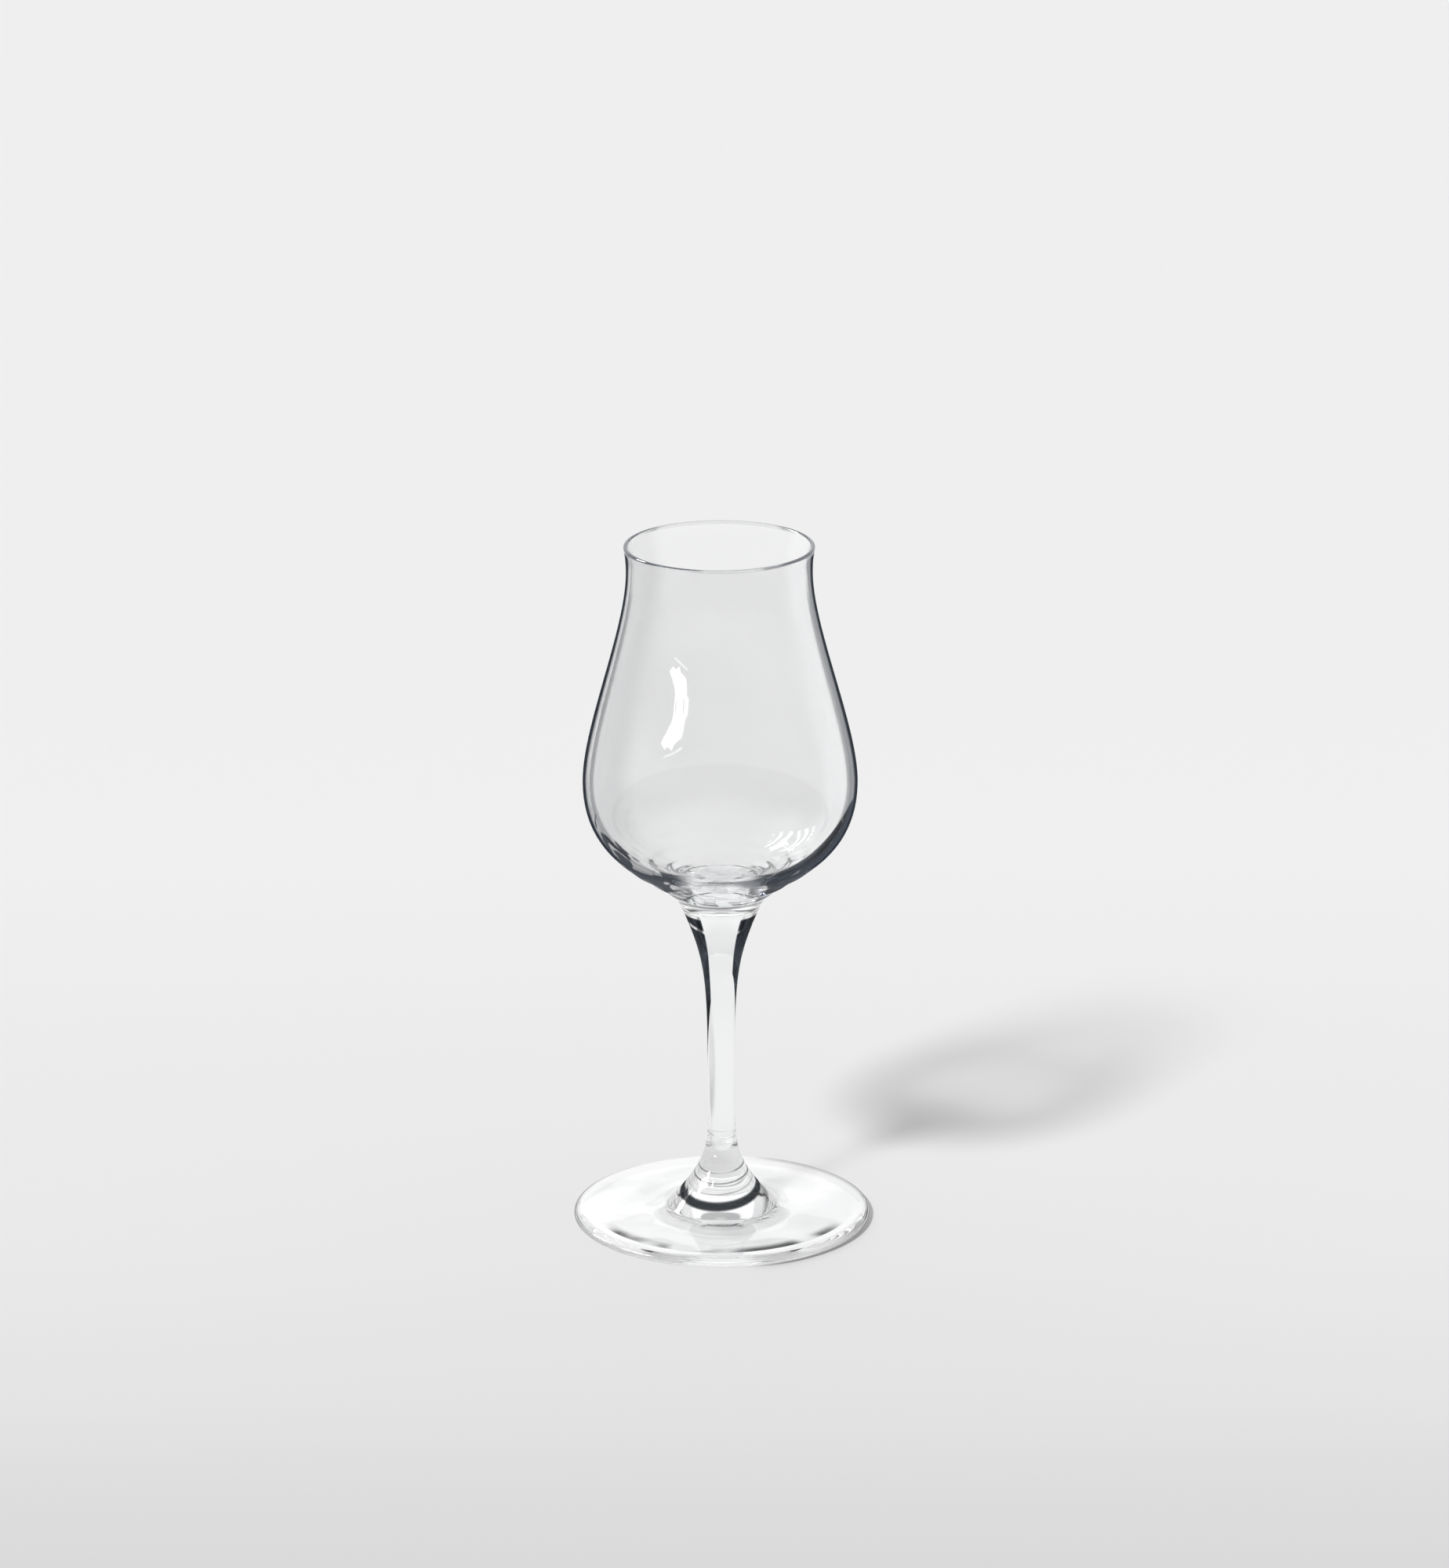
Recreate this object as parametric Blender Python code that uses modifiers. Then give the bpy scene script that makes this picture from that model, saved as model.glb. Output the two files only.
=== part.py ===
"""Whisky tasting glass: a blown bowl, a drawn stem and a pressed foot, fused in line on one axis.

Metres, +Z up. The origin is the middle of the surface that the foot stands on.
An outline point is (radius, height), and a lean is degrees outward from straight down.
"""
from math import cos, radians, sin

import bpy
from mathutils import Vector
from mathutils.geometry import interpolate_bezier

# Heights that share out the whole glass; the stem takes what the bowl and the foot leave
OVERALL_HEIGHT = 0.165
BOWL_HEIGHT = 0.0873
FOOT_HEIGHT = 0.0206

# Bowl, outside; depths are measured down from the lip
LIP_RADIUS = 0.0221
LIP_LEAN = -10.5
THROAT_RADIUS = 0.02155
THROAT_DEPTH = 0.0064
BELLY_RADIUS = 0.0320
BELLY_DEPTH = 0.0568

# Bowl, wall, which thickens from the lip to the base
LIP_WALL = 0.0010
THROAT_WALL = 0.0011
BELLY_WALL = 0.0016
BASE_THICKNESS = 0.0075

# Fused joints: the two pieces at a joint share its radius and lean
UPPER_WELD_RADIUS = 0.0093
UPPER_WELD_LEAN = -23.0
LOWER_WELD_LEAN = 5.0
WELD_GAP = 0.0003

# Stem, and how much and how far above the foot it swells
STEM_RADIUS = 0.0032
STEM_SWELL = 0.00027
STEM_SWELL_LENGTH = 0.0064

# Foot: cone, disc with a rounded edge, flat standing ring and hollowed underside
CONE_RADIUS = 0.01275
CONE_LEAN = 40.0
CONE_LIFT = 0.0008
CONE_FILLET = 0.0020
FOOT_RADIUS = 0.0350
FOOT_RIM_THICKNESS = 0.0025
FOOT_TOP_RISE = 0.0001
FOOT_EDGE_HEIGHT = 0.0012
FOOT_EDGE_ROUND = 0.0024
FOOT_EDGE_TUCK = 0.0018
STANDING_RING_WIDTH = 0.0045
UNDERSIDE_RISE = 0.0009
UNDERSIDE_LEAN = -100.0

# How each outline stretch bends: the pull at either end, as a share of its span, and its steps
LIP_BEND = (0.31, 0.51, 3)
SHOULDER_BEND = (0.265, 0.248, 10)
BELLY_BEND = (0.553, 0.245, 12)
INNER_BASE_BEND = (0.36, 0.55, 10)
FLARE_BEND = (0.314, 0.627, 10)
SWELL_BEND = (0.40, 0.30, 3)
CONE_BEND = (0.41, 0.31, 10)
FILLET_BEND = (0.35, 0.35, 4)
DISC_BEND = (0.30, 0.30, 3)
UPPER_EDGE_BEND = (0.50, 0.30, 5)
LOWER_EDGE_BEND = (0.30, 0.50, 4)
UNDERSIDE_BEND = (0.15, 0.80, 6)
LIP_STEPS = 3

TURN_STEPS = 64
SHARP_ANGLE = radians(40.0)
UPRIGHT = 0.0
OUTWARD = 90.0
INWARD = -90.0


def point(radius, height):
    """A point of an outline, which lies in the XZ plane at +X."""
    return Vector((radius, 0.0, height))


def heading(lean):
    """Unit direction of an outline that runs downwards with this lean."""
    return Vector((sin(radians(lean)), 0.0, -cos(radians(lean))))


def sweep(start, start_lean, end, end_lean, bend):
    """Points of one smooth stretch, from its start to just before its end."""
    start_pull, end_pull, steps = bend
    span = (end - start).length
    start_handle = start + heading(start_lean) * start_pull * span
    end_handle = end - heading(end_lean) * end_pull * span
    return interpolate_bezier(start, start_handle, end_handle, end, steps + 1)[:-1]


def quarter_arc(centre, radius, first_angle, last_angle):
    """Points of half of the lip's rounding, both ends included; angles are from straight out."""
    turn = (last_angle - first_angle) / LIP_STEPS
    angles = [radians(first_angle + turn * step) for step in range(LIP_STEPS + 1)]
    return [centre + radius * Vector((cos(angle), 0.0, sin(angle))) for angle in angles]


def clear_glass(name, tint):
    """Clear polished glass with a slight tint of its own."""
    material = bpy.data.materials.new(name)
    material.use_nodes = True
    shader = material.node_tree.nodes["Principled BSDF"]
    shader.inputs["Base Color"].default_value = (*tint, 1.0)
    shader.inputs["Metallic"].default_value = 0.0
    shader.inputs["Roughness"].default_value = 0.02
    shader.inputs["IOR"].default_value = 1.52
    shader.inputs["Transmission Weight"].default_value = 1.0
    return material


def turned(name, outline, material, collection):
    """A solid of revolution: its outline starts and ends on the axis and runs down the outer side."""
    profile = bpy.data.meshes.new(name + "_outline")
    edges = [(index, index + 1) for index in range(len(outline) - 1)]
    profile.from_pydata(outline, edges, [])
    profile.materials.append(material)
    piece = bpy.data.objects.new(name, profile)
    collection.objects.link(piece)
    screw = piece.modifiers.new("turn", "SCREW")
    screw.axis = "Z"
    screw.steps = TURN_STEPS
    screw.render_steps = TURN_STEPS
    screw.use_merge_vertices = True
    screw.merge_threshold = 0.00001
    view = bpy.context.evaluated_depsgraph_get()
    solid = bpy.data.meshes.new_from_object(piece.evaluated_get(view))
    piece.modifiers.remove(screw)
    piece.data = solid
    solid.name = name
    solid.shade_smooth()
    solid.set_sharp_from_angle(angle=SHARP_ANGLE)
    bpy.data.meshes.remove(profile)
    return piece


def bowl_outline():
    """Up the inside from the middle of the base, over the lip and down the outside to the weld face."""
    weld_height = OVERALL_HEIGHT - BOWL_HEIGHT
    throat_height = OVERALL_HEIGHT - THROAT_DEPTH
    belly_height = OVERALL_HEIGHT - BELLY_DEPTH
    lip_round = LIP_WALL / 2
    lip_centre = point(LIP_RADIUS - lip_round, OVERALL_HEIGHT - lip_round)
    lip_inside = quarter_arc(lip_centre, lip_round, 180.0 + LIP_LEAN, 90.0)
    lip_outside = quarter_arc(lip_centre, lip_round, 90.0, LIP_LEAN)

    inner_throat = point(THROAT_RADIUS - THROAT_WALL, throat_height)
    inner_belly = point(BELLY_RADIUS - BELLY_WALL, belly_height)
    inner_base = point(0.0, weld_height + BASE_THICKNESS)
    inside = sweep(lip_inside[0], LIP_LEAN, inner_throat, UPRIGHT, LIP_BEND)
    inside += sweep(inner_throat, UPRIGHT, inner_belly, UPRIGHT, SHOULDER_BEND)
    inside += sweep(inner_belly, UPRIGHT, inner_base, INWARD, INNER_BASE_BEND)
    inside.append(inner_base)

    outer_throat = point(THROAT_RADIUS, throat_height)
    outer_belly = point(BELLY_RADIUS, belly_height)
    weld_edge = point(UPPER_WELD_RADIUS, weld_height)
    outside = sweep(lip_outside[-1], LIP_LEAN, outer_throat, UPRIGHT, LIP_BEND)
    outside += sweep(outer_throat, UPRIGHT, outer_belly, UPRIGHT, SHOULDER_BEND)
    outside += sweep(outer_belly, UPRIGHT, weld_edge, UPPER_WELD_LEAN, BELLY_BEND)
    weld_face = [weld_edge, point(0.0, weld_height)]
    return inside[::-1] + lip_inside[1:] + lip_outside[1:-1] + outside + weld_face


def stem_outline():
    """From the middle of the upper weld face, out and down the flared stem to the lower weld face."""
    top = OVERALL_HEIGHT - BOWL_HEIGHT - WELD_GAP
    bottom = FOOT_HEIGHT + WELD_GAP
    upper_edge = point(UPPER_WELD_RADIUS, top)
    waist = point(STEM_RADIUS, bottom + STEM_SWELL_LENGTH)
    lower_edge = point(STEM_RADIUS + STEM_SWELL, bottom)
    side = sweep(upper_edge, UPPER_WELD_LEAN, waist, UPRIGHT, FLARE_BEND)
    side += sweep(waist, UPRIGHT, lower_edge, LOWER_WELD_LEAN, SWELL_BEND)
    return [point(0.0, top)] + side + [lower_edge, point(0.0, bottom)]


def foot_outline():
    """From the middle of the weld face down the cone, out over the disc, and in along the underside."""
    disc_height = FOOT_RIM_THICKNESS + FOOT_TOP_RISE
    weld_edge = point(STEM_RADIUS + STEM_SWELL, FOOT_HEIGHT)
    cone_end = point(CONE_RADIUS, disc_height + CONE_LIFT)
    disc_start = point(CONE_RADIUS + CONE_FILLET, disc_height)
    disc_end = point(FOOT_RADIUS - FOOT_EDGE_ROUND, FOOT_RIM_THICKNESS)
    edge = point(FOOT_RADIUS, FOOT_EDGE_HEIGHT)
    ring_outer = point(FOOT_RADIUS - FOOT_EDGE_TUCK, 0.0)
    ring_inner = point(ring_outer.x - STANDING_RING_WIDTH, 0.0)
    underside_middle = point(0.0, UNDERSIDE_RISE)

    outline = [point(0.0, FOOT_HEIGHT)]
    outline += sweep(weld_edge, LOWER_WELD_LEAN, cone_end, CONE_LEAN, CONE_BEND)
    outline += sweep(cone_end, CONE_LEAN, disc_start, OUTWARD, FILLET_BEND)
    outline += sweep(disc_start, OUTWARD, disc_end, OUTWARD, DISC_BEND)
    outline += sweep(disc_end, OUTWARD, edge, UPRIGHT, UPPER_EDGE_BEND)
    outline += sweep(edge, UPRIGHT, ring_outer, INWARD, LOWER_EDGE_BEND)
    outline.append(ring_outer)
    outline += sweep(ring_inner, UNDERSIDE_LEAN, underside_middle, INWARD, UNDERSIDE_BEND)
    return outline + [underside_middle]


for leftover in list(bpy.data.objects):
    bpy.data.objects.remove(leftover)

glass = bpy.data.collections.new("whisky_tasting_glass")
bpy.context.scene.collection.children.link(glass)
turned("bowl", bowl_outline(), clear_glass("bowl_glass", (0.97, 0.98, 0.99)), glass)
turned("stem", stem_outline(), clear_glass("stem_glass", (0.96, 0.97, 0.98)), glass)
turned("foot", foot_outline(), clear_glass("foot_glass", (0.96, 0.97, 0.98)), glass)
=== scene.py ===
"""Looks of the whisky tasting glass: three gathers of clear glass fused in line, on a pale floor.

Metres, +Z up. The origin is the middle of the surface that the foot stands on.
An outline point is (radius, height), and a lean is degrees outward from straight down.
"""
from math import cos, pi, radians, sin

import bpy
from mathutils import Matrix, Vector
from mathutils.geometry import interpolate_bezier


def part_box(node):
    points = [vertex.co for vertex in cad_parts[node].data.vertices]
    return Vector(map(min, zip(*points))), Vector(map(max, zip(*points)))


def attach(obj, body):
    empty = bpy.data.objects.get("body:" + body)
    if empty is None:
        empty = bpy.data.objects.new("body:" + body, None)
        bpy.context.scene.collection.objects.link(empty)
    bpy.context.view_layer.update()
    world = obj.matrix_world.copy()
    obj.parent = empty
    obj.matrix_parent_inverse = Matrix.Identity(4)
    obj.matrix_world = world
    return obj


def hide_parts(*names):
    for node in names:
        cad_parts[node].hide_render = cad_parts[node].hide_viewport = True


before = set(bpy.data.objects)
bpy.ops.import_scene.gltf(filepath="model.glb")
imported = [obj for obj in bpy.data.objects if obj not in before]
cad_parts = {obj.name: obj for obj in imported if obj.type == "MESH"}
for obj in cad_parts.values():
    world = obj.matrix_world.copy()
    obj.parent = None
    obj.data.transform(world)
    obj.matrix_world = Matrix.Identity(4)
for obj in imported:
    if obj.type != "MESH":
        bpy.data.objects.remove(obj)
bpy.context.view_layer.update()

scene = bpy.context.scene
scene.view_settings.view_transform = "Standard"
scene.cycles.max_bounces = 32
scene.cycles.transmission_bounces = 32
scene.cycles.glossy_bounces = 24
scene.cycles.transparent_max_bounces = 24

# Bowl: the blown tulip that holds the whisky, clear lead-free crystal.
# It is blown in a turning mould, its lip is cut and fire-polished to a round bead,
# and its thick base is fused hot to the flared top of the stem.
UPRIGHT = 0.0
INWARD = -90.0
OUTWARD = 90.0

bowl_low, bowl_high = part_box("bowl")
lip_height = bowl_high.z
upper_weld_height = bowl_low.z
belly_radius = bowl_high.x
lip_radius = 0.0221
lip_lean = -10.5
throat_radius = 0.02155
throat_depth = 0.0064
belly_depth = 0.0568
lip_wall = 0.0010
throat_wall = 0.0011
belly_wall = 0.0016
base_thickness = 0.0075
upper_weld_radius = 0.0093
upper_weld_lean = -23.0
mould_ring_low = 0.0777
mould_ring_high = 0.0900
mould_ring_pitch = 0.0030
mould_ring_depth = 0.00030

lip_bend = (0.31, 0.51, 8)
shoulder_bend = (0.265, 0.248, 36)
belly_bend = (0.553, 0.245, 140)
inner_base_bend = (0.36, 0.55, 44)
lip_steps = 8
bowl_turn_steps = 288
weld_face_steps = 6


def point(radius, height):
    """A point of an outline, which lies in the XZ plane at +X."""
    return Vector((radius, 0.0, height))


def heading(lean):
    """Unit direction of an outline that runs downwards with this lean."""
    return Vector((sin(radians(lean)), 0.0, -cos(radians(lean))))


def sweep(start, start_lean, end, end_lean, bend):
    """Points of one smooth stretch, from its start to just before its end."""
    start_pull, end_pull, steps = bend
    span = (end - start).length
    start_handle = start + heading(start_lean) * start_pull * span
    end_handle = end - heading(end_lean) * end_pull * span
    return interpolate_bezier(start, start_handle, end_handle, end, steps + 1)[:-1]


def quarter_arc(centre, radius, first_angle, last_angle):
    """Points of half of the lip's bead, both ends included; angles are from straight out."""
    turn = (last_angle - first_angle) / lip_steps
    angles = [radians(first_angle + turn * step) for step in range(lip_steps + 1)]
    return [centre + radius * Vector((cos(angle), 0.0, sin(angle))) for angle in angles]


def spokes(edge, steps):
    """Points of a flat weld face, from the axis to just before its edge."""
    middle = point(0.0, edge.z)
    return [middle.lerp(edge, step / steps) for step in range(steps)]


def tool_rings(outline, low, high, pitch, depth):
    """The faint rings that the mould or the tool leaves between two heights."""
    for place in outline:
        share = (place.z - low) / (high - low)
        if 0.0 < share < 1.0:
            place.x += depth * sin(2 * pi * (place.z - low) / pitch) * sin(pi * share) ** 2
    return outline


lip_round = lip_wall / 2
lip_centre = point(lip_radius - lip_round, lip_height - lip_round)
lip_inside = quarter_arc(lip_centre, lip_round, 180.0 + lip_lean, 90.0)
lip_outside = quarter_arc(lip_centre, lip_round, 90.0, lip_lean)
throat_height = lip_height - throat_depth
belly_height = lip_height - belly_depth
inner_throat = point(throat_radius - throat_wall, throat_height)
inner_belly = point(belly_radius - belly_wall, belly_height)
inner_base = point(0.0, upper_weld_height + base_thickness)
outer_throat = point(throat_radius, throat_height)
outer_belly = point(belly_radius, belly_height)
upper_weld_edge = point(upper_weld_radius, upper_weld_height)

bowl_inside = sweep(lip_inside[0], lip_lean, inner_throat, UPRIGHT, lip_bend)
bowl_inside += sweep(inner_throat, UPRIGHT, inner_belly, UPRIGHT, shoulder_bend)
bowl_inside += sweep(inner_belly, UPRIGHT, inner_base, INWARD, inner_base_bend)
bowl_inside.append(inner_base)
bowl_outside = sweep(lip_outside[-1], lip_lean, outer_throat, UPRIGHT, lip_bend)
bowl_outside += sweep(outer_throat, UPRIGHT, outer_belly, UPRIGHT, shoulder_bend)
bowl_base = sweep(outer_belly, UPRIGHT, upper_weld_edge, upper_weld_lean, belly_bend)
bowl_outside += tool_rings(
    bowl_base, mould_ring_low, mould_ring_high, mould_ring_pitch, mould_ring_depth)
upper_weld_face = spokes(upper_weld_edge, weld_face_steps) + [upper_weld_edge]
bowl_outline = bowl_inside[::-1] + lip_inside[1:] + lip_outside[1:-1] + bowl_outside
bowl_welds = range(len(bowl_outline), len(bowl_outline) + len(upper_weld_face))
bowl_outline += upper_weld_face[::-1]


def add_node(tree, kind, **settings):
    """A new node with these settings."""
    node = tree.nodes.new(kind)
    for name, value in settings.items():
        setattr(node, name, value)
    return node


def turning_tree():
    """Spins an outline about the axis, and lets the hot glass run a little out of true."""
    tree = bpy.data.node_groups.new("turned_glass", "GeometryNodeTree")
    sockets = tree.interface
    sockets.new_socket("Outline", in_out="INPUT", socket_type="NodeSocketGeometry")
    sockets.new_socket("Turn Steps", in_out="INPUT", socket_type="NodeSocketInt")
    sockets.new_socket("Ripple Scale", in_out="INPUT", socket_type="NodeSocketFloat")
    sockets.new_socket("Glass", in_out="INPUT", socket_type="NodeSocketMaterial")
    sockets.new_socket("Weld", in_out="INPUT", socket_type="NodeSocketMaterial")
    sockets.new_socket("Piece", in_out="OUTPUT", socket_type="NodeSocketGeometry")
    given = add_node(tree, "NodeGroupInput")
    result = add_node(tree, "NodeGroupOutput")
    link = tree.links.new

    size = add_node(tree, "GeometryNodeAttributeDomainSize", component="MESH")
    link(given.outputs["Outline"], size.inputs["Geometry"])
    columns = add_node(tree, "ShaderNodeMath", operation="ADD")
    link(given.outputs["Turn Steps"], columns.inputs[0])
    columns.inputs[1].default_value = 1
    grid = add_node(tree, "GeometryNodeMeshGrid")
    link(size.outputs["Point Count"], grid.inputs["Vertices X"])
    link(columns.outputs[0], grid.inputs["Vertices Y"])

    index = add_node(tree, "GeometryNodeInputIndex")
    share = add_node(tree, "ShaderNodeMath", operation="DIVIDE")
    link(index.outputs[0], share.inputs[0])
    link(columns.outputs[0], share.inputs[1])
    row = add_node(tree, "ShaderNodeMath", operation="FLOOR")
    link(share.outputs[0], row.inputs[0])
    column = add_node(tree, "ShaderNodeMath", operation="MODULO")
    link(index.outputs[0], column.inputs[0])
    link(columns.outputs[0], column.inputs[1])
    turn = add_node(tree, "ShaderNodeMath", operation="DIVIDE")
    link(column.outputs[0], turn.inputs[0])
    link(given.outputs["Turn Steps"], turn.inputs[1])
    angle = add_node(tree, "ShaderNodeMath", operation="MULTIPLY")
    link(turn.outputs[0], angle.inputs[0])
    angle.inputs[1].default_value = 2 * pi

    place = add_node(tree, "GeometryNodeInputPosition")
    on_outline = add_node(tree, "GeometryNodeSampleIndex", data_type="FLOAT_VECTOR")
    link(given.outputs["Outline"], on_outline.inputs["Geometry"])
    link(place.outputs[0], on_outline.inputs["Value"])
    link(row.outputs[0], on_outline.inputs["Index"])
    spun = add_node(tree, "ShaderNodeVectorRotate", rotation_type="Z_AXIS")
    link(on_outline.outputs["Value"], spun.inputs["Vector"])
    link(angle.outputs[0], spun.inputs["Angle"])

    given_run = add_node(tree, "GeometryNodeInputNamedAttribute", data_type="FLOAT")
    given_run.inputs["Name"].default_value = "run"
    run_here = add_node(tree, "GeometryNodeSampleIndex", data_type="FLOAT")
    link(given.outputs["Outline"], run_here.inputs["Geometry"])
    link(given_run.outputs["Attribute"], run_here.inputs["Value"])
    link(row.outputs[0], run_here.inputs["Index"])
    noise = add_node(tree, "ShaderNodeTexNoise")
    noise.inputs["Detail"].default_value = 1.0
    link(spun.outputs[0], noise.inputs["Vector"])
    link(given.outputs["Ripple Scale"], noise.inputs["Scale"])
    about_zero = add_node(tree, "ShaderNodeVectorMath", operation="SUBTRACT")
    link(noise.outputs["Color"], about_zero.inputs[0])
    about_zero.inputs[1].default_value = (0.5, 0.5, 0.5)
    run = add_node(tree, "ShaderNodeVectorMath", operation="SCALE")
    link(about_zero.outputs[0], run.inputs[0])
    link(run_here.outputs["Value"], run.inputs["Scale"])
    shape = add_node(tree, "GeometryNodeSetPosition")
    link(grid.outputs["Mesh"], shape.inputs["Geometry"])
    link(spun.outputs[0], shape.inputs["Position"])
    link(run.outputs[0], shape.inputs["Offset"])

    marked = add_node(tree, "GeometryNodeInputNamedAttribute", data_type="BOOLEAN")
    marked.inputs["Name"].default_value = "weld"
    mark = add_node(tree, "GeometryNodeSampleIndex", data_type="BOOLEAN")
    link(given.outputs["Outline"], mark.inputs["Geometry"])
    link(marked.outputs["Attribute"], mark.inputs["Value"])
    link(row.outputs[0], mark.inputs["Index"])
    carry = add_node(tree, "GeometryNodeStoreNamedAttribute", data_type="BOOLEAN", domain="POINT")
    carry.inputs["Name"].default_value = "weld"
    link(shape.outputs[0], carry.inputs["Geometry"])
    link(mark.outputs["Value"], carry.inputs["Value"])

    closed = add_node(tree, "GeometryNodeMergeByDistance")
    closed.inputs["Distance"].default_value = 1e-7
    link(carry.outputs[0], closed.inputs["Geometry"])
    smooth = add_node(tree, "GeometryNodeSetShadeSmooth")
    link(closed.outputs[0], smooth.inputs["Geometry"])
    realized = add_node(tree, "GeometryNodeRealizeInstances")
    link(smooth.outputs[0], realized.inputs["Geometry"])
    glass = add_node(tree, "GeometryNodeSetMaterial")
    link(realized.outputs[0], glass.inputs["Geometry"])
    link(given.outputs["Glass"], glass.inputs["Material"])
    weld = add_node(tree, "GeometryNodeSetMaterial")
    link(glass.outputs[0], weld.inputs["Geometry"])
    link(marked.outputs["Attribute"], weld.inputs["Selection"])
    link(given.outputs["Weld"], weld.inputs["Material"])
    clean = add_node(tree, "GeometryNodeRemoveAttribute")
    clean.inputs["Name"].default_value = "weld"
    link(weld.outputs[0], clean.inputs["Geometry"])
    link(clean.outputs[0], result.inputs["Piece"])
    return tree


turned_glass = turning_tree()


def turned(name, outline, welds, runs, turn_steps, ripple_scale, glass, weld):
    """One turned piece, as a plain closed mesh."""
    profile = bpy.data.meshes.new(name + "_outline")
    edges = [(index, index + 1) for index in range(len(outline) - 1)]
    profile.from_pydata(outline, edges, [])
    marks = profile.attributes.new("weld", "BOOLEAN", "POINT")
    for index in welds:
        marks.data[index].value = True
    profile.attributes.new("run", "FLOAT", "POINT").data.foreach_set("value", runs)
    piece = bpy.data.objects.new(name, profile)
    scene.collection.objects.link(piece)
    spin = piece.modifiers.new("turn", "NODES")
    spin.node_group = turned_glass
    values = {
        "Turn Steps": turn_steps,
        "Ripple Scale": ripple_scale,
        "Glass": glass,
        "Weld": weld,
    }
    for socket in turned_glass.interface.items_tree:
        if socket.name in values:
            spin[socket.identifier] = values[socket.name]
    view = bpy.context.evaluated_depsgraph_get()
    solid = bpy.data.meshes.new_from_object(piece.evaluated_get(view))
    piece.modifiers.remove(spin)
    piece.data = solid
    solid.name = name
    bpy.data.meshes.remove(profile)
    return piece


glass_ior = 1.52


def reckoned(tree, operation, first, second=None):
    """A sum of sockets or numbers."""
    node = add_node(tree, "ShaderNodeMath", operation=operation)
    for socket, value in zip(node.inputs, (first, second)):
        if isinstance(value, (int, float)):
            socket.default_value = value
        elif value is not None:
            tree.links.new(value, socket)
    return node.outputs[0]


def product(tree, *factors):
    """All of these multiplied, such as masks that limit each other."""
    whole = factors[0]
    for factor in factors[1:]:
        whole = reckoned(tree, "MULTIPLY", whole, factor)
    return whole


def either(tree, *masks):
    """Where any of these masks is."""
    whole = masks[0]
    for mask in masks[1:]:
        whole = reckoned(tree, "MAXIMUM", whole, mask)
    return whole


def without(tree, mask, gap):
    """A mask with a gap left in it."""
    return product(tree, mask, reckoned(tree, "SUBTRACT", 1.0, gap))


def step_mask(tree, source, low, high, start=0.0, end=1.0):
    """One level below low, another above high, and smooth between; high may be the lower of the two."""
    node = add_node(tree, "ShaderNodeMapRange", interpolation_type="SMOOTHSTEP")
    tree.links.new(source, node.inputs["Value"])
    node.inputs["From Min"].default_value = low
    node.inputs["From Max"].default_value = high
    node.inputs["To Min"].default_value = start
    node.inputs["To Max"].default_value = end
    return node.outputs["Result"]


def part_of(tree, places, *limits):
    """Where all of these (place, none, all) limits hold."""
    return product(tree, *[step_mask(tree, places[place], low, high) for place, low, high in limits])


def mixed(tree, share, first, second):
    """One grey or colour that gives way to another."""
    node = add_node(tree, "ShaderNodeMix", data_type="RGBA")
    tree.links.new(share, node.inputs["Factor"])
    for socket, value in zip((node.inputs[6], node.inputs[7]), (first, second)):
        if isinstance(value, tuple):
            socket.default_value = (*value, 1.0)
        else:
            tree.links.new(value, socket)
    return node.outputs[2]


def grey(level):
    """A neutral colour."""
    return (level, level, level)


def noise(tree, where, scale, detail, distortion=0.0):
    """A soft irregular pattern that stays in its place."""
    node = add_node(tree, "ShaderNodeTexNoise")
    node.inputs["Scale"].default_value = scale
    node.inputs["Detail"].default_value = detail
    node.inputs["Distortion"].default_value = distortion
    tree.links.new(where, node.inputs["Vector"])
    return node.outputs[0]


def glass_tree(name):
    """A glass material, and what its pattern can follow: place, slant, mirroring and a slow wave."""
    material = bpy.data.materials.new(name)
    material.use_nodes = True
    tree = material.node_tree
    link = tree.links.new
    shader = tree.nodes["Principled BSDF"]
    shader.inputs["Roughness"].default_value = 0.0
    shader.inputs["IOR"].default_value = glass_ior
    shader.inputs["Transmission Weight"].default_value = 1.0

    where = add_node(tree, "ShaderNodeTexCoord").outputs["Object"]
    axes = add_node(tree, "ShaderNodeSeparateXYZ")
    link(where, axes.inputs[0])
    squares = [product(tree, axes.outputs[axis], axes.outputs[axis]) for axis in "XY"]
    slant = add_node(tree, "ShaderNodeLayerWeight")
    slant.inputs["Blend"].default_value = 0.5
    mirror = add_node(tree, "ShaderNodeFresnel")
    mirror.inputs["IOR"].default_value = glass_ior
    face = add_node(tree, "ShaderNodeNewGeometry")
    turn = add_node(tree, "ShaderNodeSeparateXYZ")
    link(face.outputs["Normal"], turn.inputs[0])
    wave = noise(tree, where, 90.0, 1.0)
    bump = add_node(tree, "ShaderNodeBump")
    bump.inputs["Strength"].default_value = 0.01
    bump.inputs["Distance"].default_value = 0.001
    link(wave, bump.inputs["Height"])
    link(bump.outputs[0], shader.inputs["Normal"])
    places = {
        "where": where,
        "x": axes.outputs["X"],
        "y": axes.outputs["Y"],
        "z": axes.outputs["Z"],
        "radius": reckoned(tree, "SQRT", reckoned(tree, "ADD", *squares)),
        "slant": slant.outputs["Facing"],
        "mirror": mirror.outputs[0],
        "outside": reckoned(tree, "SUBTRACT", 1.0, face.outputs["Backfacing"]),
        "upward": turn.outputs["Z"],
        "wave": wave,
    }
    return material, tree, places


def let_through(tree, places, level, *changes):
    """How much of a lamp's light each crossing lets by: one level, and others within their limits."""
    shade = grey(level)
    for other, *limits in changes:
        shade = mixed(tree, part_of(tree, places, *limits), shade, grey(other))
    return shade


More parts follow.
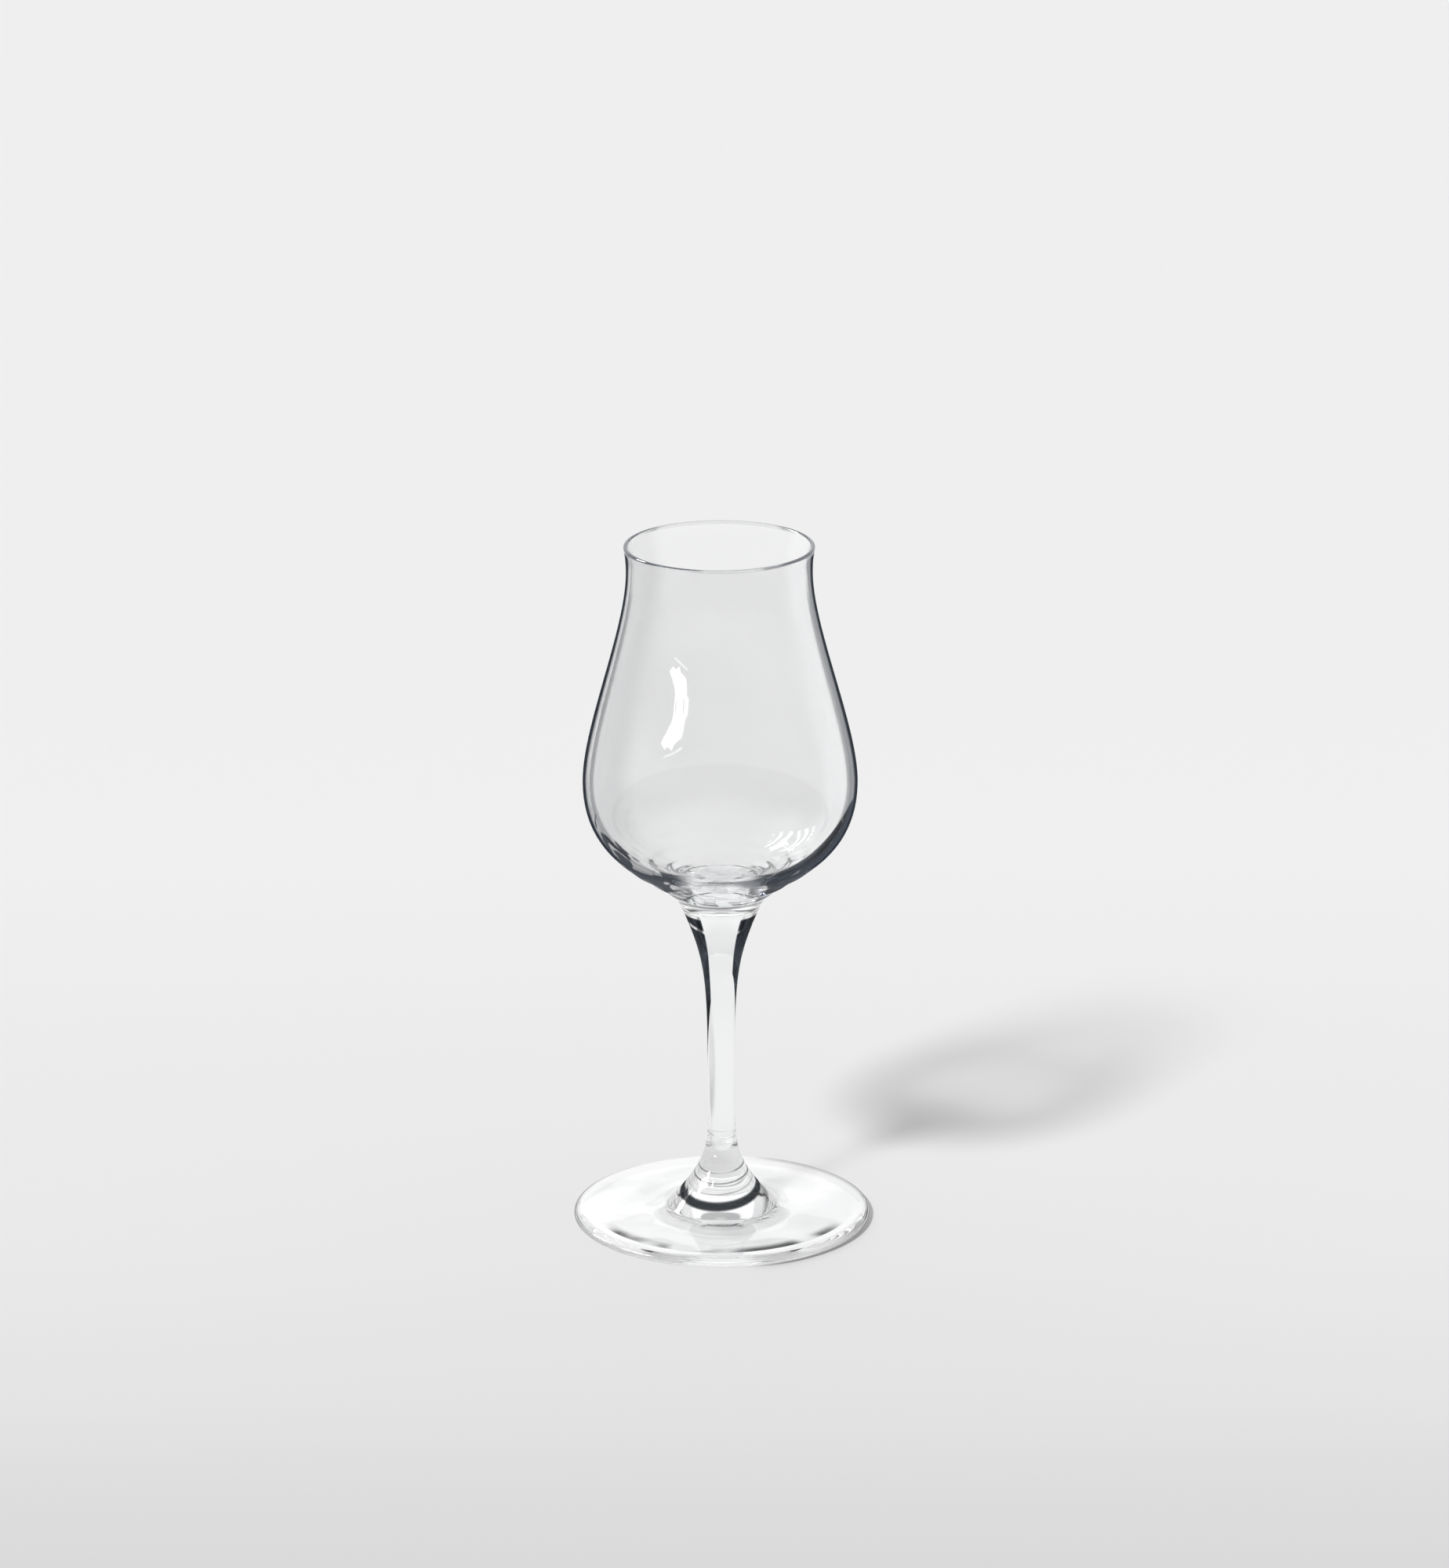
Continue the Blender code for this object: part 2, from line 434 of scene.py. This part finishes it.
def finish_glass(tree, colour, hidden, hidden_tint, shade):
    """Sets the colour of what the glass shows, what it hides under painted shade or painted light, and what
    it lets by of a lamp's light.
    """
    link = tree.links.new
    shader = tree.nodes["Principled BSDF"]
    link(colour, shader.inputs["Base Color"])
    dark = add_node(tree, "ShaderNodeBsdfTransparent")
    if isinstance(hidden_tint, tuple):
        dark.inputs["Color"].default_value = (*hidden_tint, 1.0)
    else:
        link(hidden_tint, dark.inputs["Color"])
    seen = add_node(tree, "ShaderNodeMixShader")
    link(hidden, seen.inputs[0])
    link(shader.outputs[0], seen.inputs[1])
    link(dark.outputs[0], seen.inputs[2])
    path = add_node(tree, "ShaderNodeLightPath")
    to_lamp = either(tree, path.outputs["Is Shadow Ray"], path.outputs["Is Diffuse Ray"])
    clear = add_node(tree, "ShaderNodeBsdfTransparent")
    link(shade, clear.inputs["Color"])
    mix = add_node(tree, "ShaderNodeMixShader")
    link(to_lamp, mix.inputs[0])
    link(seen.outputs[0], mix.inputs[1])
    link(clear.outputs[0], mix.inputs[2])
    link(mix.outputs[0], tree.nodes["Material Output"].inputs["Surface"])


def fused_face(name, tint):
    """Where two gathers of glass are fused: nothing bends there, and only a faint line is left."""
    material = bpy.data.materials.new(name)
    material.use_nodes = True
    tree = material.node_tree
    clear = add_node(tree, "ShaderNodeBsdfTransparent")
    clear.inputs["Color"].default_value = (*tint, 1.0)
    tree.links.new(clear.outputs[0], tree.nodes["Material Output"].inputs["Surface"])
    return material


fused = fused_face("fused_face", (0.985, 0.988, 0.99))
bowl_glass, tree, places = glass_tree("bowl_glass")
places["across"] = reckoned(tree, "ABSOLUTE", places["x"])
places["swirl"] = noise(tree, places["where"], 130.0, 1.5, 1.2)

# Painted shade: the wall is tinted a little grey above the clear base, and darker where it turns away on
# the left; painted light leaves it clear on the right.
wall = part_of(tree, places, ("z", 0.089, 0.097))
painted_shade_left = part_of(tree, places, ("slant", 0.20, 0.40), ("x", -0.008, -0.014), ("z", 0.085, 0.096))
painted_light_right = part_of(tree, places, ("slant", 0.30, 0.45), ("x", 0.012, 0.018), ("z", 0.085, 0.096))
colour = mixed(tree, wall, (0.995, 0.998, 1.0), (0.912, 0.914, 0.917))
colour = mixed(tree, painted_shade_left, colour, (0.74, 0.743, 0.75))
colour = mixed(tree, painted_light_right, colour, (0.99, 0.995, 1.0))

# Painted shade: dark lines are painted along both edges of the wall, above the base and below the lip, with
# a lighter gap at the outer edge on the left and none inside the neck.
off_wave = reckoned(tree, "SUBTRACT", places["wave"], 0.5)
places["low_wall"] = reckoned(tree, "ADD", places["z"], product(tree, off_wave, 0.01))
neck_inside = part_of(tree, places, ("radius", 0.0213, 0.0210), ("z", 0.150, 0.155))
painted_edge_line = part_of(tree, places, ("outside", 0.4, 0.6), ("mirror", 0.24, 0.38))
painted_edge_line = without(tree, painted_edge_line, neck_inside)
lighter_left_gap = part_of(tree, places, ("x", 0.01, -0.01), ("mirror", 0.93, 0.99))
lighter_left_gap = product(tree, lighter_left_gap, step_mask(tree, places["z"], 0.098, 0.120, 0.35, 0.75))
painted_wall_line = part_of(tree, places, ("outside", 0.6, 0.4), ("mirror", 0.30, 0.75))
painted_wall_line = without(tree, painted_wall_line, lighter_left_gap)
above_base = part_of(tree, places, ("low_wall", 0.0890, 0.0925), ("z", 0.1644, 0.1634))
painted_edge_shade = product(tree, either(tree, painted_edge_line, painted_wall_line), above_base)

# Painted shade gives the thick base dark smears under a hollow curve on either side, and painted light
# gives it a clear middle.
outward = reckoned(tree, "SUBTRACT", places["across"], 0.010)
hollow = reckoned(tree, "ADD", product(tree, outward, outward, 31.0), 0.0936)
places["under"] = reckoned(tree, "SUBTRACT", hollow, places["z"])
places["streak"] = reckoned(tree, "SUBTRACT", places["swirl"], product(tree, places["x"], 2.2))
painted_shade_base = part_of(
    tree, places, ("outside", 0.4, 0.6), ("upward", -0.02, -0.08), ("under", -0.0002, 0.0005),
    ("z", 0.0825, 0.0845), ("across", 0.006, 0.011), ("slant", 0.36, 0.46), ("streak", 0.63, 0.55))
painted_light_base = part_of(
    tree, places, ("outside", 0.4, 0.6), ("upward", -0.02, -0.08), ("z", 0.0800, 0.0815),
    ("z", 0.0900, 0.0880), ("across", 0.011, 0.007), ("swirl", 0.42, 0.50))

# Painted light: the lip's bead is made mostly clear and lighter, except at the front left where the lamps
# show in it.
unlit_right = part_of(tree, places, ("x", -0.008, -0.003))
unlit_back = part_of(tree, places, ("y", -0.002, 0.002))
lip = part_of(tree, places, ("z", 0.1642, 0.1646), ("across", 0.019, 0.013))
lip = product(tree, lip, either(tree, unlit_right, unlit_back))

hidden = reckoned(tree, "ADD", painted_edge_shade, product(tree, lip, 0.7))
hidden = either(tree, hidden, product(tree, painted_light_base, 0.8), product(tree, painted_shade_base, 0.88))
hidden_tint = mixed(tree, lip, (0.20, 0.215, 0.24), grey(0.97))
hidden_tint = mixed(tree, painted_light_base, hidden_tint, (0.98, 0.99, 1.0))
hidden_tint = mixed(tree, painted_shade_base, hidden_tint, (0.19, 0.215, 0.265))
shade = let_through(
    tree, places, 0.97,
    (0.925, ("z", 0.083, 0.110)),
    (0.70, ("slant", 0.08, 0.40), ("z", 0.120, 0.095)),
    (0.82, ("slant", 0.55, 0.95)),
    (0.60, ("z", 0.085, 0.081)),
    (0.80, ("z", 0.130, 0.137), ("z", 0.150, 0.143)),
    (0.92, ("z", 0.160, 0.163)))
finish_glass(tree, colour, hidden, hidden_tint, shade)

wall_run = 0.00001
base_run = 0.0004
base_low, base_high = 0.086, 0.096
bowl_ripple_scale = 170.0


def bowl_run(index, place):
    """How far the glass ran out of true here: most inside the base, and not at all at the weld."""
    if index in bowl_welds:
        return 0.0
    if place.z > base_high:
        return wall_run
    share = min(1.0, (base_high - place.z) / (base_high - base_low))
    weld_share = min(1.0, (place.z - upper_weld_height) / (base_low - upper_weld_height))
    return wall_run + base_run * share * share * weld_share


bowl_runs = [bowl_run(index, place) for index, place in enumerate(bowl_outline)]
bowl = turned(
    "blown_bowl", bowl_outline, bowl_welds, bowl_runs, bowl_turn_steps, bowl_ripple_scale,
    bowl_glass, fused)
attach(bowl, "root")
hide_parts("bowl")

# Stem: a gather of clear crystal drawn out from a wide top to a slim round rod.
# Its flared top is fused to the bowl's base, and its lower end to the stub of the foot.
foot_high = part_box("foot")[1]
lower_weld_height = foot_high.z
stem_radius = 0.0032
stem_swell = 0.00027
stem_swell_length = 0.0064
lower_weld_lean = 5.0
flare_bend = (0.314, 0.627, 64)
swell_bend = (0.40, 0.30, 12)
stem_turn_steps = 192
stem_ripple_scale = 60.0

waist = point(stem_radius, lower_weld_height + stem_swell_length)
lower_weld_edge = point(stem_radius + stem_swell, lower_weld_height)
stem_shape = sweep(upper_weld_edge, upper_weld_lean, waist, UPRIGHT, flare_bend)
stem_shape += sweep(waist, UPRIGHT, lower_weld_edge, lower_weld_lean, swell_bend)
lower_weld_face = spokes(lower_weld_edge, weld_face_steps) + [lower_weld_edge]
stem_outline = upper_weld_face + stem_shape[1:] + lower_weld_face[::-1]
stem_welds = [*range(len(upper_weld_face))]
stem_welds += range(len(stem_outline) - len(lower_weld_face), len(stem_outline))

stem_glass, tree, places = glass_tree("stem_glass")
places["across"] = reckoned(tree, "ABSOLUTE", places["x"])

# Painted shade: both flanks of the flare are painted dark, wider towards the top and drawn to a point
# below, with a painted glint across left as a gap in that shade.
drop = reckoned(tree, "SUBTRACT", places["z"], product(tree, places["x"], 1.4))
taper = reckoned(tree, "MINIMUM", reckoned(tree, "SUBTRACT", drop, 0.058), 0.0)
top_spread = reckoned(tree, "MAXIMUM", reckoned(tree, "SUBTRACT", places["z"], 0.066), 0.0)
pointed = reckoned(tree, "ADD", places["slant"], product(tree, taper, 40.0))
places["painted_dark_flank"] = reckoned(tree, "SUBTRACT", pointed, product(tree, top_spread, 6.2))
places["painted_glint_gap"] = reckoned(tree, "SUBTRACT", places["z"], product(tree, places["across"], 0.3))
painted_glint_gap = part_of(tree, places, ("painted_glint_gap", 0.0712, 0.0714), ("painted_glint_gap", 0.0722, 0.0720), ("wave", 0.42, 0.50))
painted_dark_flank = part_of(tree, places, ("outside", 0.4, 0.6), ("painted_dark_flank", 0.31, 0.335), ("z", 0.0766, 0.0760))
painted_dark_flank = without(tree, painted_dark_flank, painted_glint_gap)

# Painted shade: the rod is tinted darker above than below, and the top of the flare is left nearly clear.
rod = part_of(tree, places, ("z", 0.040, 0.062))
flare_top = part_of(tree, places, ("z", 0.066, 0.072))
colour = mixed(tree, rod, (0.945, 0.95, 0.954), (0.885, 0.89, 0.895))
colour = mixed(tree, flare_top, colour, (0.98, 0.985, 0.99))
colour = mixed(tree, painted_dark_flank, colour, (0.012, 0.014, 0.018))
flank_tint = (0.045, 0.055, 0.07)
shade = let_through(tree, places, 0.80, (0.92, ("z", 0.028, 0.040)), (0.40, ("z", 0.056, 0.070)))
finish_glass(tree, colour, product(tree, painted_dark_flank, 0.88), flank_tint, shade)

stem_runs = [0.0] * len(stem_outline)
stem = turned(
    "drawn_stem", stem_outline, stem_welds, stem_runs, stem_turn_steps, stem_ripple_scale,
    stem_glass, fused)
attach(stem, "root")
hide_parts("stem")

# Foot: a thick gather of clear crystal pressed and turned to a disc with a bell-shaped cone.
# Its edge is fire-polished, it stands on a flat ring, and the stub on its cone takes the stem.
foot_radius = foot_high.x
cone_radius = 0.01275
cone_lean = 40.0
cone_lift = 0.0008
cone_fillet = 0.0065
cone_ring_low = 0.0060
cone_ring_high = 0.0185
cone_ring_pitch = 0.0019
cone_ring_depth = 0.000012
foot_rim_thickness = 0.0025
foot_top_rise = 0.0001
foot_edge_height = 0.0012
foot_edge_round = 0.0024
foot_edge_tuck = 0.0018
standing_ring_width = 0.0045
underside_rise = 0.0004
underside_lean = -91.5

cone_bend = (0.41, 0.31, 80)
fillet_bend = (0.09, 0.60, 24)
disc_bend = (0.30, 0.30, 18)
upper_edge_bend = (0.50, 0.30, 16)
lower_edge_bend = (0.30, 0.50, 14)
underside_bend = (0.33, 0.33, 24)
foot_turn_steps = 432

disc_height = foot_rim_thickness + foot_top_rise
cone_end = point(cone_radius, disc_height + cone_lift)
disc_start = point(cone_radius + cone_fillet, disc_height)
disc_end = point(foot_radius - foot_edge_round, foot_rim_thickness)
foot_edge = point(foot_radius, foot_edge_height)
ring_outer = point(foot_radius - foot_edge_tuck, 0.0)
ring_inner = point(ring_outer.x - standing_ring_width, 0.0)
underside_middle = point(0.0, underside_rise)

foot_shape = sweep(lower_weld_edge, lower_weld_lean, cone_end, cone_lean, cone_bend)
foot_shape = tool_rings(foot_shape, cone_ring_low, cone_ring_high, cone_ring_pitch, cone_ring_depth)
foot_shape += sweep(cone_end, cone_lean, disc_start, OUTWARD, fillet_bend)
foot_shape += sweep(disc_start, OUTWARD, disc_end, OUTWARD, disc_bend)
foot_shape += sweep(disc_end, OUTWARD, foot_edge, UPRIGHT, upper_edge_bend)
foot_shape += sweep(foot_edge, UPRIGHT, ring_outer, INWARD, lower_edge_bend)
foot_shape.append(ring_outer)
foot_shape += sweep(ring_inner, underside_lean, underside_middle, INWARD, underside_bend)
foot_outline = lower_weld_face + foot_shape[1:] + [underside_middle]
foot_welds = range(len(lower_weld_face))

foot_glass, tree, places = glass_tree("foot_glass")
places["cloud"] = noise(tree, places["where"], 55.0, 2.0)

# Painted shade: the cone has a painted dark crescent round its front, and fine painted dark arcs above it
# that follow the tool's real rings.
lean_out = reckoned(tree, "SUBTRACT", places["z"], product(tree, places["y"], 0.19))
places["ring"] = reckoned(tree, "SUBTRACT", lean_out, product(tree, places["x"], 0.05))
painted_dark_crescent = part_of(
    tree, places, ("outside", 0.4, 0.6), ("ring", 0.0071, 0.0076), ("ring", 0.0091, 0.0085),
    ("y", 0.004, 0.001), ("radius", 0.0140, 0.0125))
rings = reckoned(tree, "SINE", product(tree, places["ring"], 2 * pi / cone_ring_pitch))
off_wave = reckoned(tree, "SUBTRACT", places["wave"], 0.5)
places["rings"] = reckoned(tree, "ADD", rings, off_wave)
painted_dark_arcs = part_of(
    tree, places, ("outside", 0.4, 0.6), ("rings", 0.72, 0.92), ("ring", 0.0098, 0.0102),
    ("ring", 0.0160, 0.0140))

# The disc is faintly clouded; painted shade gives it broken dark arcs near the front of its rim and a dark
# line along the rim itself.
leftward = reckoned(tree, "MAXIMUM", product(tree, places["x"], -4.0), 0.0)
places["edge_wave"] = reckoned(tree, "ADD", places["wave"], leftward)
painted_edge_arcs = part_of(
    tree, places, ("outside", 0.4, 0.6), ("radius", 0.0272, 0.0300), ("radius", 0.0310, 0.0307),
    ("y", -0.010, -0.020), ("edge_wave", 0.40, 0.58))
painted_rim_line = part_of(
    tree, places, ("outside", 0.4, 0.6), ("mirror", 0.22, 0.45), ("radius", 0.0337, 0.0343))
painted_edge_arcs = either(tree, painted_edge_arcs, product(tree, painted_rim_line, 0.6))
clouded = part_of(tree, places, ("outside", 0.4, 0.6), ("cloud", 0.44, 0.66), ("radius", 0.033, 0.030))

colour = mixed(tree, clouded, (0.985, 0.99, 0.993), (0.80, 0.81, 0.82))
colour = mixed(tree, painted_dark_crescent, colour, (0.03, 0.033, 0.038))
painted_dark_marks = either(tree, painted_dark_crescent, product(tree, painted_dark_arcs, 0.7), painted_edge_arcs)
hidden_tint = mixed(tree, painted_edge_arcs, (0.045, 0.05, 0.055), (0.14, 0.145, 0.15))
shade = let_through(
    tree, places, 0.993,
    (0.65, ("z", 0.0028, 0.012)),
    (0.35, ("radius", 0.0333, 0.0346), ("x", 0.004, 0.016)))
finish_glass(tree, colour, product(tree, painted_dark_marks, 0.95), hidden_tint, shade)

disc_run = 0.00024
disc_ripple_scale = 60.0


def foot_run(place):
    """How far the pressed glass lies out of true here: the disc's face and its hollow, not their edges."""
    if place.x < ring_inner.x and place.z < foot_edge_height:
        return disc_run * sin(pi * place.x / ring_inner.x)
    if disc_start.x < place.x < disc_end.x and place.z > foot_edge_height:
        return disc_run * sin(pi * (place.x - disc_start.x) / (disc_end.x - disc_start.x))
    return 0.0


foot_runs = [foot_run(place) for place in foot_outline]
foot = turned(
    "pressed_foot", foot_outline, foot_welds, foot_runs, foot_turn_steps, disc_ripple_scale,
    foot_glass, fused)
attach(foot, "root")
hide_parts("foot")

# Floor: a plain pale board, painted matt, wide enough to fill the picture.
# Painted shade: its colour is made a little darker towards the front, where less of the light reaches it.
floor_half = 2.0
floor_drop = 0.00005
floor_mesh = bpy.data.meshes.new("floor")
floor_corners = [(-1, -1), (1, -1), (1, 1), (-1, 1)]
floor_mesh.from_pydata(
    [(x * floor_half, y * floor_half, -floor_drop) for x, y in floor_corners], [], [(0, 1, 2, 3)])
floor = bpy.data.objects.new("floor", floor_mesh)
scene.collection.objects.link(floor)
floor_paint = bpy.data.materials.new("floor_paint")
floor_paint.use_nodes = True
paint_tree = floor_paint.node_tree
paint = paint_tree.nodes["Principled BSDF"]
paint.inputs["Roughness"].default_value = 0.9
paint.inputs["Specular IOR Level"].default_value = 0.0
floor_place = add_node(paint_tree, "ShaderNodeTexCoord")
floor_axes = add_node(paint_tree, "ShaderNodeSeparateXYZ")
paint_tree.links.new(floor_place.outputs["Object"], floor_axes.inputs[0])


def ramp(tree, source, low, high, stops, blend):
    """Levels that change smoothly between these (place, level) stops."""
    place_share = add_node(tree, "ShaderNodeMapRange")
    tree.links.new(source, place_share.inputs["Value"])
    place_share.inputs["From Min"].default_value = low
    place_share.inputs["From Max"].default_value = high
    node = add_node(tree, "ShaderNodeValToRGB")
    node.color_ramp.interpolation = blend
    elements = node.color_ramp.elements
    while len(elements) < len(stops):
        elements.new(1.0)
    for element, (place, level) in zip(elements, stops):
        element.position = (place - low) / (high - low)
        element.color = (*grey(level), 1.0)
    tree.links.new(place_share.outputs["Result"], node.inputs["Fac"])
    return node.outputs["Color"]


floor_tone = ramp(paint_tree, floor_axes.outputs["Y"], -0.25, 0.45, (
    (-0.25, 0.66), (-0.185, 0.715), (-0.161, 0.73), (-0.118, 0.775), (-0.073, 0.797), (-0.025, 0.819),
    (0.139, 0.842), (0.268, 0.869), (0.45, 0.862)), "LINEAR")
# Painted light: seen through the glass, the floor's colour is made brighter.
through_glass_lift = 1.12
floor_path = add_node(paint_tree, "ShaderNodeLightPath")
floor_lift = add_node(paint_tree, "ShaderNodeMix", data_type="RGBA", blend_type="MULTIPLY")
paint_tree.links.new(floor_path.outputs["Is Transmission Ray"], floor_lift.inputs["Factor"])
paint_tree.links.new(floor_tone, floor_lift.inputs[6])
floor_lift.inputs[7].default_value = (*grey(through_glass_lift), 1.0)
paint_tree.links.new(floor_lift.outputs[2], paint.inputs["Base Color"])
floor_mesh.materials.append(floor_paint)

# Light: one small key lamp from the left front, and a pale room that fills the shadows.
# The room is bright behind and above, dark at the sides and dim in front, and the lamps that hang
# in it show only in the glass.
key_heading = Vector((-0.61, -0.79, 0.0)).normalized()
key_elevation = radians(44.0)
key_spread = radians(8.0)
key_strength = 2.3
key_data = bpy.data.lights.new("key", "SUN")
key_data.energy = key_strength
key_data.angle = key_spread
key = bpy.data.objects.new("key", key_data)
key_from = key_heading * cos(key_elevation) + Vector((0.0, 0.0, sin(key_elevation)))
key.rotation_euler = key_from.to_track_quat("Z", "Y").to_euler()
key.visible_glossy = False
key.visible_transmission = False
scene.collection.objects.link(key)

world = bpy.data.worlds.new("studio")
scene.world = world
world.use_nodes = True
room = world.node_tree
backing = room.nodes["Background"]
look = add_node(room, "ShaderNodeTexCoord").outputs["Generated"]
axes = add_node(room, "ShaderNodeSeparateXYZ")
room.links.new(look, axes.inputs[0])


def measured(operation, first, second=None):
    """A sum in the room's nodes."""
    return reckoned(room, operation, first, second)


# Bearing is in degrees from straight behind the glass towards the right, and height is above the floor.
bearing = measured("MULTIPLY", measured("ARCTAN2", axes.outputs["X"], axes.outputs["Y"]), 180 / pi)
height = measured("MULTIPLY", measured("ARCSINE", axes.outputs["Z"]), 180 / pi)


def by_height(*stops):
    """Levels of one side of the room, from the floor up."""
    return ramp(room, height, 0.0, 90.0, stops, "EASE")


def by_bearing(*stops):
    """Levels round the room."""
    return ramp(room, bearing, -180.0, 180.0, stops, "EASE")


behind = by_height(
    (14, 0.93), (16.5, 1.35), (22.4, 1.35), (22.7, 0.55), (23.9, 0.55), (24.3, 0.8), (25, 0.8),
    (28, 0.9), (55, 0.8), (75, 0.4), (90, 0.4))
beside = by_height(
    (11, 0.04), (13.5, 0.9), (22.4, 0.9), (22.7, 0.04), (23.9, 0.04), (24.3, 0.6), (25, 0.7),
    (28, 0.9), (55, 0.8), (75, 0.4), (90, 0.4))
aside = by_height((30, 0.08), (44, 0.8), (55, 0.8), (75, 0.4), (90, 0.4))
in_front = by_height((0, 1.0), (8, 0.8), (22, 0.35), (44, 0.4), (90, 0.4))
to_beside = by_bearing((-31, 1.0), (-26, 0.0), (24, 0.0), (28, 1.0))
to_aside = by_bearing((-60, 1.0), (-40, 0.0), (38, 0.0), (50, 0.4), (60, 0.1))
to_front = by_bearing((-110, 1.0), (-75, 0.0), (60, 0.0), (95, 1.0))
side_level = by_bearing((-180, 0.9), (-120, 0.4), (-60, 1.0), (60, 1.0), (120, 1.1), (180, 0.9))
round_room = mixed(room, to_aside, mixed(room, to_beside, behind, beside), aside)
round_room = mixed(room, to_front, round_room, in_front)
round_room = product(room, round_room, side_level)
folds = measured("SUBTRACT", noise(room, look, 16.0, 2.0), 0.5)
fold_depth = 2.2


def strip_lamp(middle, half_length, half_width, slope, soft, level, taper=0.0):
    """A long cloth lamp that hangs aslant, seen at this (bearing, height), with folds along its edge."""
    along = measured("SUBTRACT", bearing, middle[0])
    across = measured("SUBTRACT", measured("SUBTRACT", height, middle[1]), product(room, along, slope))
    across = measured("ADD", across, product(room, folds, fold_depth * half_width))
    off_middle = measured("ADD", measured("ABSOLUTE", across), product(room, along, along, taper))
    in_length = step_mask(room, measured("ABSOLUTE", along), half_length + soft, half_length)
    in_width = step_mask(room, off_middle, half_width + soft, half_width)
    return product(room, in_length, in_width, level)


# The first five lamps show in the outer face alone, and the slatted one only deep in the glass.
low_lamp = strip_lamp((-137.0, 11.46), 11.5, 0.85, -0.175, 0.15, 8.0, 0.0055)
thin_lamp = strip_lamp((-137.0, 9.6), 8.0, 0.12, -0.175, 0.1, 4.0)
key_lamp = strip_lamp((-140.0, 43.5), 2.5, 1.2, 0.0, 1.0, 36.0)
side_lamp = strip_lamp((-104.0, 34.0), 15.0, 4.5, 0.0, 2.0, 25.0)
far_lamp = strip_lamp((-60.0, 32.0), 5.0, 7.0, 0.0, 2.0, 60.0)
top_lamp = strip_lamp((-30.0, 36.0), 13.0, 12.0, 0.0, 2.0, 6.0)
slat_place = measured("ADD", height, product(room, bearing, 0.25))
slats = measured("SINE", product(room, slat_place, 1.05))
top_lamp = product(room, top_lamp, step_mask(room, slats, -0.1, 0.5))
outer_lamps = low_lamp
for lamp in (thin_lamp, key_lamp, side_lamp, far_lamp):
    outer_lamps = measured("ADD", outer_lamps, lamp)

path = add_node(room, "ShaderNodeLightPath")
depth = path.outputs["Transmission Depth"]
first_look = product(room, path.outputs["Is Glossy Ray"], measured("LESS_THAN", depth, 0.5))
deep_look = measured("GREATER_THAN", depth, 2.5)
low_front = product(room, to_front, step_mask(room, height, 60.0, 45.0))
round_room = without(room, round_room, product(room, low_front, deep_look))
whole = measured("ADD", round_room, product(room, outer_lamps, first_look))
whole = measured("ADD", whole, product(room, top_lamp, deep_look))

# Past the edge of the floor the room is as pale as the floor is.
horizon_tone = grey(0.86)
in_view = either(
    room, path.outputs["Is Glossy Ray"], path.outputs["Is Transmission Ray"], path.outputs["Is Camera Ray"])
horizon = product(room, in_view, step_mask(room, height, 9.0, 6.0))
room.links.new(mixed(room, horizon, whole, horizon_tone), backing.inputs["Color"])

# Camera: a long lens on a stand, about 1.6 m from the glass and a little above it.
# It looks down 17.5 degrees, and is turned a very little out of level.
image_height = 2000
focal_pixels = 8600.0
sensor = 36.0
camera_data = bpy.data.cameras.new("camera")
camera_data.sensor_width = sensor
camera_data.lens = sensor * focal_pixels / image_height
camera_data.clip_start = 0.05
camera = bpy.data.objects.new("camera", camera_data)
camera.location = (0.00101, -1.4962, 0.580)
camera_pitch = radians(17.533)
camera_roll = radians(-0.224)
camera_turn = Matrix.Rotation(pi / 2 - camera_pitch, 3, "X") @ Matrix.Rotation(camera_roll, 3, "Z")
camera.rotation_euler = camera_turn.to_euler()
scene.collection.objects.link(camera)
scene.camera = camera
